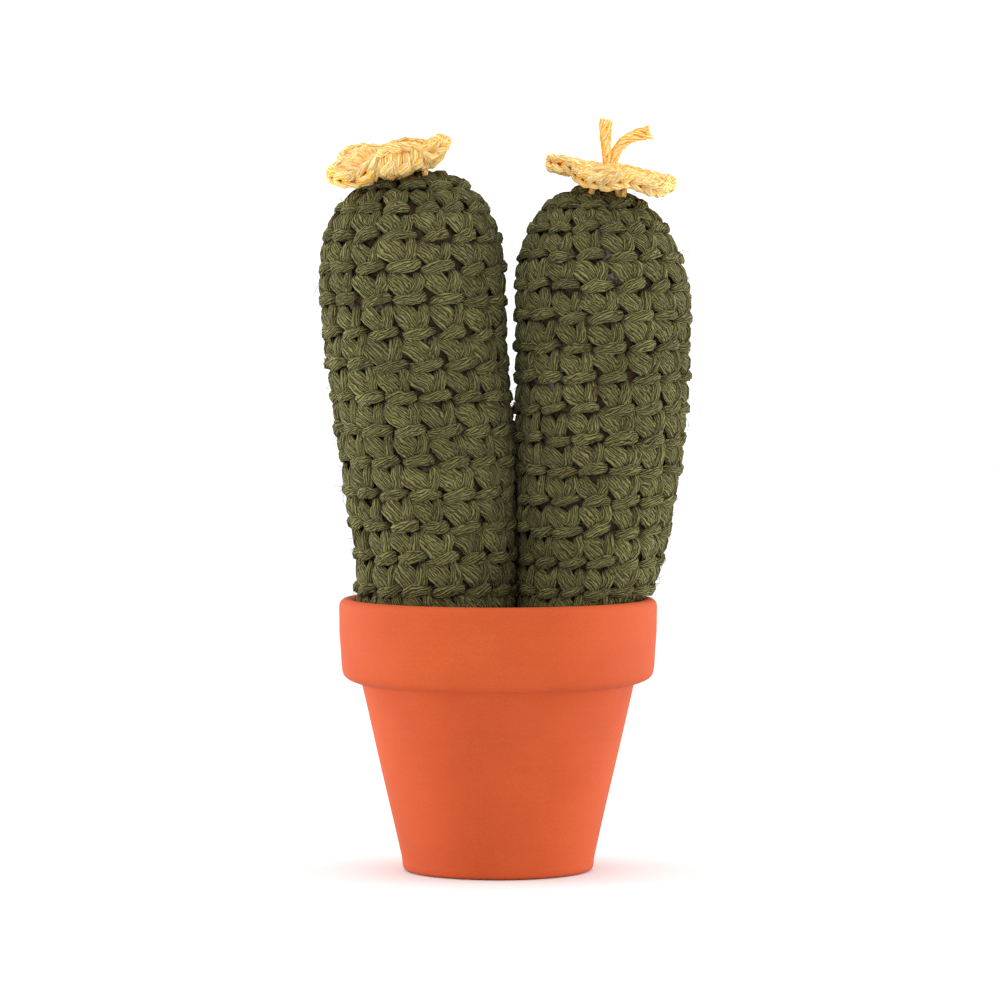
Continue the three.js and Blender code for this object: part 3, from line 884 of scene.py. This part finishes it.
def fibre_group():
    """Strews curled fibres over a surface, on the faces that look up more than a given amount."""
    group, tree = new_group("Fibres", (
        ("Geometry", "Geometry", None),
        ("Fibre", "Object", None),
        ("Density", "Float", 300000.0),
        ("Least upward", "Float", 0.3),
        ("Tilt", "Float", 0.5),
        ("Seed", "Int", 1),
        ("Material", "Material", None),
    ), "Geometry")
    given = tree.add("NodeGroupInput").outputs
    upward = tree.parts(tree.add("GeometryNodeInputNormal"))["Z"]
    strewn = tree.add("GeometryNodeDistributePointsOnFaces", {
        "Mesh": given["Geometry"], "Density": given["Density"], "Seed": given["Seed"],
        "Selection": tree.math("GREATER_THAN", upward, given["Least upward"])})
    tilt = given["Tilt"]
    back = tree.times(tilt, -1.0)
    turn = tree.chance(tree.xyz(back, back, -math.pi), tree.xyz(tilt, tilt, math.pi),
                       given["Seed"], "FLOAT_VECTOR").outputs["Value"]
    size = tree.chance(0.5, 1.3, tree.plus(given["Seed"], 5.0))
    laid = tree.laid(strewn.outputs["Points"], given["Fibre"], Rotation=turn, Scale=size)
    tree.add("NodeGroupOutput", {
        "Geometry": tree.covered(tree.realized(laid), given["Material"])})
    return group


def strew(surface, name, settings):
    """Strews fibres over a copy of a surface."""
    copy = show(name, surface.data.copy())
    return run_group(bpy.data.node_groups.get("Fibres") or fibre_group(), copy, name, settings)


def curled_fibre(length, radius, sides=3, steps=6):
    """One thin curled fibre as a closed tube, its sizes in millimetres."""
    share = np.linspace(0, 1, steps)
    path = np.stack([share - 0.5, 0.23 * np.sin(4.2 * share + 0.4), 0.19 * np.sin(3.1 * share)], -1)
    along = unit(np.gradient(path, axis=0))
    across = unit(np.cross((0.31, 0.17, 0.94), along))
    angle = -TURN * np.arange(sides)[:, None] / sides
    rings = [length * place + radius * (np.cos(angle) * side + np.sin(angle) * lift)
             for place, side, lift in zip(path, across, np.cross(along, across))]
    faces = [tuple(reversed(f)) for f in grid_faces(steps, sides, closed=True)]
    return new_object("fibre", np.vstack(rings) * MM, faces)


# Flowers

def petal_shape(flower, angle):
    """The edge's curl and length in one direction, and how near that is to a notch."""
    petals = sorted(flower["petals"])
    directions = [p[0] for p in petals]
    degrees = math.degrees(angle) % 360
    after = next((k for k, d in enumerate(directions) if d > degrees), 0)
    before = (after - 1) % len(petals)
    span = (directions[after] - directions[before]) % 360
    share = ((degrees - directions[before]) % 360) / span
    ease = min(1, max(0, (share - 0.3) / 0.4))
    ease = ease * ease * (3 - 2 * ease)
    notch = math.sin(math.pi * share) ** 4
    curl, length = ((1 - ease) * petals[before][k] + ease * petals[after][k] for k in (1, 2))
    return math.radians(curl) * (1 - 0.25 * notch), length, notch


def tilt_matrix(about_x, about_y):
    """The turn about x and then about y, from two angles in degrees."""
    return np.array(Euler((math.radians(about_x), math.radians(about_y), 0)).to_matrix())


def flower_points(flower, angles, shares, steps=40):
    """The flower's middle sheet, in millimetres, for rows of shares of its length."""
    curl, length, notch = np.array([petal_shape(flower, a) for a in angles]).T
    length = flower["radius"] * length * (1 - flower["notch"] * notch)
    fine = (np.arange(steps) + 0.5)[:, None] / steps * SHEET_REACH
    steep = curl * np.maximum(0, (fine - BEND_START) / (1 - BEND_START))
    shares = np.asarray(shares, float)
    at = np.clip(shares / SHEET_REACH * steps, 0, steps - 1e-6)
    low = at.astype(int)
    part = (at - low)[:, None]

    def added_up(step):
        total = np.vstack([np.zeros((1, len(curl))), np.cumsum(step, axis=0)]) * SHEET_REACH / steps
        return (total[low] * (1 - part) + total[low + 1] * part) * length

    radius = added_up(np.cos(steep))
    height = added_up(np.sin(steep)) - flower["valley"] * notch * shares[:, None] ** 3
    local = np.stack([radius * np.cos(angles), radius * np.sin(angles), height], axis=-1)
    return local @ tilt_matrix(*flower["tilt"]).T + np.array(flower["at"])


def flower_frames(flower, columns, shares):
    """Points of the sheet with the direction out of its top and the direction away from its middle."""
    angles = TURN * np.arange(columns) / columns
    points = flower_points(flower, angles, shares)
    outward = unit(flower_points(flower, angles, np.asarray(shares) + 0.02) - points)
    round_it = np.roll(points, -1, axis=1) - np.roll(points, 1, axis=1)
    return points, unit(np.cross(outward, round_it)), outward


def flower_face(flower, name, side, columns=100, rows=16):
    """The top (side 1) or underside (side -1) of a flower, as a surface to crochet on."""
    points, top, _ = flower_frames(flower, columns, np.linspace(1.0, 0.03, rows))
    points, outwards = points + side * SHEET_HALF * top, side * top
    if side < 0:
        points, outwards = points[:, ::-1], outwards[:, ::-1]
    return stitch_surface(name, points, outwards, np.arange(rows) / (rows - 1))


def flower_rim(flower, name, columns=160, rows=9):
    """The flower's edge as a half round ribbon, wide enough for its braid of loops."""
    points, top, outward = (a[0] for a in flower_frames(flower, columns, [0.98]))
    turns = np.radians(np.linspace(-RIM_WRAP / 2, RIM_WRAP / 2, rows))[:, None, None]
    ways = np.cos(turns) * outward + np.sin(turns) * top
    return stitch_surface(name, points + RIM_HALF * ways, ways, np.arange(rows) / (rows - 1))


def flower_stitch(width, height):
    """A tall stitch: two upright posts side by side, with a slanting wrap across them."""
    post = {"half_width": 1.25, "half_height": 1.05, "plies": 5, "span": 200, "twist": 0.1,
            "ply_radius": 0.48}
    left = bundle([(-1.4, -1.8, -1.4), (-1.2, 0.6, -0.1), (-1.2, 4.0, 0.0), (-0.7, 7.4, -1.5)],
                  seed=21, **post)
    right = bundle([(0.3, -1.8, -1.4), (0.9, 0.6, -0.1), (1.2, 4.2, 0.0), (0.9, 7.4, -1.5)],
                   seed=23, **post)
    wrap = bundle([(-2.4, 1.6, -1.6), (-1.2, 2.5, 0.5), (0.9, 3.5, 0.55), (2.3, 4.4, -1.4)],
                  1.05, 0.95, plies=4, span=200, twist=-0.2, ply_radius=0.46, seed=25)
    return object_of_bundles("flower_stitch", [left, right, wrap], (1 / width, 1 / height, 1))


def rim_link(width, height):
    """One link of the braid along a flower's edge: two loops that part from one foot."""
    loop = {"half_width": 1.05, "half_height": 0.9, "plies": 5, "span": 215, "ends": 0.4,
            "ply_radius": 0.45, "steps": 6}
    upper = bundle([(-3.0, 0.0, -1.3), (-1.5, 0.5, 0.15), (0.4, 1.25, 0.45), (2.2, 1.45, 0.0),
                    (3.3, 1.0, -1.3)], twist=0.12, seed=31, **loop)
    lower = bundle([(-3.0, -0.2, -1.3), (-1.5, -0.55, 0.15), (0.4, -1.3, 0.45), (2.2, -1.5, 0.0),
                    (3.3, -1.0, -1.3)], twist=-0.12, seed=33, **loop)
    return object_of_bundles("rim_link", [upper, lower], (1 / width, 1 / height, 1))


def yarn_end(path, half, plies, yarn, seed, frayed=0.0, steps=6):
    """A short length of yarn along a path in millimetres from the pot's axis."""
    stretch = bundle(path, half, half, plies=plies, span=300, twist=0.55, ends=0.92,
                     ply_radius=half * 0.56, steps=steps, up=(0.05, 1, 0.02), seed=seed, frayed=frayed)
    made = object_of_bundles("yarn_end", [stretch], (MM, MM, MM), POT_AXIS)
    # A middling tone, and a height high enough that little of the yarn material's painted shade is mixed
    # in
    for name in ("shade", "height"):
        give_number(made, name, 0.6)
    made.data.materials.append(yarn)
    return made


# Settings, operators and the panel

class ColumnSettings(bpy.types.PropertyGroup):
    """Sizes and colours of the crocheted columns."""
    stitches: IntProperty(name="Stitches a round", description="Stitches around each column",
                          default=15, min=6, max=40)
    yarn: FloatVectorProperty(name="Yarn", description="The green yarn's colour", subtype="COLOR",
                              default=linear(83, 71, 45), size=3, min=0, max=1)
    unevenness: FloatProperty(name="Unevenness", description="How much stitches differ",
                              default=1.35, min=0, max=3)
    wobble: FloatProperty(name="Wobble", description="How far the yarn strays from its path",
                          subtype="DISTANCE", unit="LENGTH", default=0.35 * MM, min=0, max=2 * MM)
    lining: FloatProperty(name="Lining depth", description="How far behind the stitches their backs lie",
                          subtype="DISTANCE", unit="LENGTH", default=2.0 * MM, min=0, max=4 * MM)
    fuzz: FloatProperty(name="Fuzz", description="Loose hairs on each square metre of crochet",
                        default=26000, min=0, max=100000)


class CACTUS_OT_columns(bpy.types.Operator):
    """Crochet the two stuffed columns."""
    bl_idname = "cactus.columns"
    bl_label = "Columns"

    def execute(self, context):
        settings = context.scene.cactus_columns
        # The dark and deep colours are painted shade in the yarn's grooves and recesses, the light
        # colour is painted light on its crests, and the lining's colours are painted shade in the holes
        yarn = yarn_material("green_cotton", linear(70, 50, 39), tuple(settings.yarn),
                             linear(125, 125, 75), linear(84, 63, 50))
        lining = lining_material("green_lining", linear(72, 53, 43), linear(92, 73, 56),
                                 linear(166, 152, 146), 0.8)
        stitch = column_stitch()
        hair = curled_fibre(HAIR_LENGTH, HAIR_RADIUS)
        for number, (side, column) in enumerate(COLUMNS.items()):
            points, outwards, rows_at, rounds = column_shape(column, 1.0, rows=64, columns=60)
            surface = stitch_surface(f"{side}_surface", points, outwards, rows_at, closed=True)
            fuzz = strew(surface, f"{side}_fuzz", {
                "Fibre": hair, "Density": settings.fuzz, "Least upward": -2.0, "Tilt": math.pi,
                "Seed": 60 + number, "Material": yarn})
            give_number(fuzz, "shade", 0.9)
            crochet = crochet_on(surface, f"{side}_crochet", {
                "Stitch": stitch,
                "Stitches a round": settings.stitches,
                "Rounds": rounds,
                "Unevenness": settings.unevenness,
                "Wobble": settings.wobble,
                "Lining depth": settings.lining,
                "Seed": 7 + 100 * number,
                "Yarn": yarn,
                "Lining": lining,
            })
            made = join(f"{side}_column_crochet", [crochet, fuzz])
            hand_over(made, f"column_cover_{side}")
        for motif in (stitch, hair):
            bpy.data.objects.remove(motif)
        return {"FINISHED"}


class PotSettings(bpy.types.PropertyGroup):
    """Look and fineness of the clay pot and the stuffing in it."""
    sides: IntProperty(name="Sides", description="Facets around the pot", default=144, min=24, max=256)
    clay: FloatVectorProperty(name="Clay", description="The clay's colour", subtype="COLOR",
                              default=linear(194, 80, 33), size=3, min=0, max=1)
    wobble: FloatProperty(name="Wobble", description="How far the pot is from round", subtype="DISTANCE",
                          unit="LENGTH", default=0.12 * MM, min=0, max=MM)
    fluff: FloatProperty(name="Fluff", description="Loose fibres on each square metre of the stuffing",
                         default=700000, min=0, max=1000000)


class CACTUS_OT_pot(bpy.types.Operator):
    """Turn the clay pot."""
    bl_idname = "cactus.pot"
    bl_label = "Pot"

    def execute(self, context):
        settings = context.scene.cactus_pot
        made = turned("clay_pot", pot_profile(), settings.sides, settings.wobble / MM, 5.0)
        clay = clay_material(tuple(settings.clay), linear(209, 100, 50), linear(178, 68, 26))
        made.data.materials.append(clay)
        hand_over(made, "pot")
        return {"FINISHED"}


class CACTUS_OT_stuffing(bpy.types.Operator):
    """Fill the pot and the columns with loose fibre."""
    bl_idname = "cactus.stuffing"
    bl_label = "Stuffing"

    def execute(self, context):
        settings = context.scene.cactus_pot
        material = fibre_material()
        body = wad_body()
        body.data.materials.append(material)
        fibre = curled_fibre(FLUFF_LENGTH, FLUFF_RADIUS)
        fluff = strew(body, "stuffing_fluff", {
            "Fibre": fibre, "Density": settings.fluff, "Tilt": 0.45, "Seed": 9, "Material": material})
        bpy.data.objects.remove(fibre)
        keep_in_pot(fluff)
        hand_over(join("stuffing_wad", [body, fluff]), "pot_stuffing")
        for side, column in COLUMNS.items():
            filling = column_filling(f"{side}_column_filling", column)
            filling.data.materials.append(material)
            hand_over(filling, f"column_stuffing_{side}")
        return {"FINISHED"}


class FlowerSettings(bpy.types.PropertyGroup):
    """Look of the crocheted flowers."""
    yarn: FloatVectorProperty(name="Yarn", description="The yellow yarn's colour", subtype="COLOR",
                              default=linear(255, 202, 86), size=3, min=0, max=1)
    wobble: FloatProperty(name="Wobble", description="How far the yarn strays from its path",
                          subtype="DISTANCE", unit="LENGTH", default=0.25 * MM, min=0, max=2 * MM)
    links: IntProperty(name="Links", description="Links in the braid around each flower",
                       default=30, min=12, max=80)


class CACTUS_OT_flowers(bpy.types.Operator):
    """Crochet the two flowers, with their yarn ends and sewing stitches."""
    bl_idname = "cactus.flowers"
    bl_label = "Flowers"

    def execute(self, context):
        settings = context.scene.cactus_flowers
        # The dark and deep oranges are painted shade in the yarn's grooves and recesses, the pale colour
        # is painted light on its crests, and the lining's oranges are painted shade in the holes
        yarn = yarn_material("yellow_cotton", linear(255, 160, 16), tuple(settings.yarn),
                             linear(255, 226, 172), linear(255, 146, 4), recess_shade_range=(-0.8, 0.9),
                             hairiness=0.35, relief_depth=0.25, sheen=0.0, scatter=0.3)
        lining = lining_material("yellow_lining", linear(250, 158, 24), linear(254, 190, 70),
                                 linear(254, 190, 70), 0.99)
        shared = {"Wobble": settings.wobble, "Yarn": yarn, "Lining": lining}
        for side, flower in FLOWERS.items():
            radius, seed = flower["radius"], flower["seed"] * 10
            stitch = flower_stitch(TURN * 0.75 * radius / FACE_STITCHES, 0.9 * radius / FACE_ROUNDS)
            link = rim_link(TURN * radius / settings.links, RIM_HALF * math.radians(RIM_WRAP))
            pieces = [
                crochet_on(flower_face(flower, f"{side}_{level}_surface", facing), f"{side}_{level}", {
                    "Stitch": stitch,
                    "Stitches a round": FACE_STITCHES,
                    "Rounds": FACE_ROUNDS,
                    "Added a round": FACE_STITCHES // FACE_ROUNDS,
                    "Drift": 0.3,
                    "First row": 0.0,
                    "Lining depth": FACE_LINING * MM,
                    "Seed": seed + facing,
                    **shared,
                }) for level, facing in (("top", 1), ("under", -1))]
            pieces.append(crochet_on(flower_rim(flower, f"{side}_rim_surface"), f"{side}_rim", {
                "Stitch": link,
                "Stitches a round": settings.links,
                "Rounds": 1,
                "Added a round": settings.links,
                "Drift": 0.0,
                "First row": 0.5,
                "Lining depth": RIM_LINING * MM,
                "Seed": seed + 5,
                **shared,
            }))
            for motif in (stitch, link):
                bpy.data.objects.remove(motif)
            pieces += [yarn_end(path, END_HALF, 5, yarn, 41 + number, frayed=1.0, steps=18)
                       for number, path in enumerate(flower["ends"])]
            pieces += [yarn_end(path, SEWING_HALF, 4, yarn, 51 + number)
                       for number, path in enumerate(flower["sewing"])]
            made = join(f"{side}_flower_crochet", pieces)
            hand_over(made, f"flower_{side}")
        return {"FINISHED"}


def aim_at(made, place, aim):
    """Puts a light or the camera in its place and turns it towards a point."""
    made.location = place
    made.rotation_euler = (Vector(aim) - Vector(place)).to_track_quat("-Z", "Y").to_euler()


class CACTUS_OT_stage(bpy.types.Operator):
    """Set out the floor, the light and the camera."""
    bl_idname = "cactus.stage"
    bl_label = "Stage"

    def execute(self, context):
        scene = context.scene
        far = FLOOR_HALF
        floor = new_object("floor", [(-far, -far, 0), (far, -far, 0), (far, far, 0), (-far, far, 0)],
                           [(0, 1, 2, 3)])
        material, tree = new_material("floor_paper")
        set_finish(tree, FLOOR_COLOUR, Roughness=0.9)
        floor.data.materials.append(material)
        world = bpy.data.worlds.new("studio")
        world.use_nodes = True
        background = world.node_tree.nodes["Background"].inputs
        background["Color"].default_value = (1, 1, 1, 1)
        background["Strength"].default_value = ROOM_LIGHT
        scene.world = world
        scene.view_settings.view_transform = "Standard"
        for name, place, size, power in LIGHTS:
            light = bpy.data.lights.new(name, "AREA")
            light.shape = "RECTANGLE"
            light.size, light.size_y = size
            light.energy = power
            aim_at(show(name, light), place, LIGHTS_AIM)
        camera = bpy.data.cameras.new("camera")
        camera.sensor_width = 36
        camera.lens = LENS
        camera.clip_end = 20
        scene.camera = show("camera", camera)
        aim_at(scene.camera, CAMERA_PLACE, CAMERA_AIM)
        return {"FINISHED"}


class CACTUS_PT_panel(bpy.types.Panel):
    """Buttons for each group of pieces."""
    bl_idname = "CACTUS_PT_panel"
    bl_label = "Crocheted cactus"
    bl_space_type = "VIEW_3D"
    bl_region_type = "UI"
    bl_category = "Cactus"

    def draw(self, context):
        for operator in OPERATORS:
            self.layout.operator(operator.bl_idname)
        for name in SETTINGS:
            settings = getattr(context.scene, name)
            box = self.layout.box()
            for key in settings.__annotations__:
                box.prop(settings, key)


SETTINGS = {"cactus_pot": PotSettings, "cactus_columns": ColumnSettings,
            "cactus_flowers": FlowerSettings}
OPERATORS = (CACTUS_OT_pot, CACTUS_OT_stuffing, CACTUS_OT_columns, CACTUS_OT_flowers, CACTUS_OT_stage)
CLASSES = (*SETTINGS.values(), *OPERATORS, CACTUS_PT_panel)


def register():
    for cls in CLASSES:
        bpy.utils.register_class(cls)
    for name, settings in SETTINGS.items():
        setattr(bpy.types.Scene, name, PointerProperty(type=settings))


def unregister():
    for name in SETTINGS:
        delattr(bpy.types.Scene, name)
    for cls in reversed(CLASSES):
        bpy.utils.unregister_class(cls)


def main():
    register()
    bpy.ops.cactus.pot()
    bpy.ops.cactus.stuffing()
    bpy.ops.cactus.columns()
    bpy.ops.cactus.flowers()
    bpy.ops.cactus.stage()


if __name__ == "__main__":
    main()
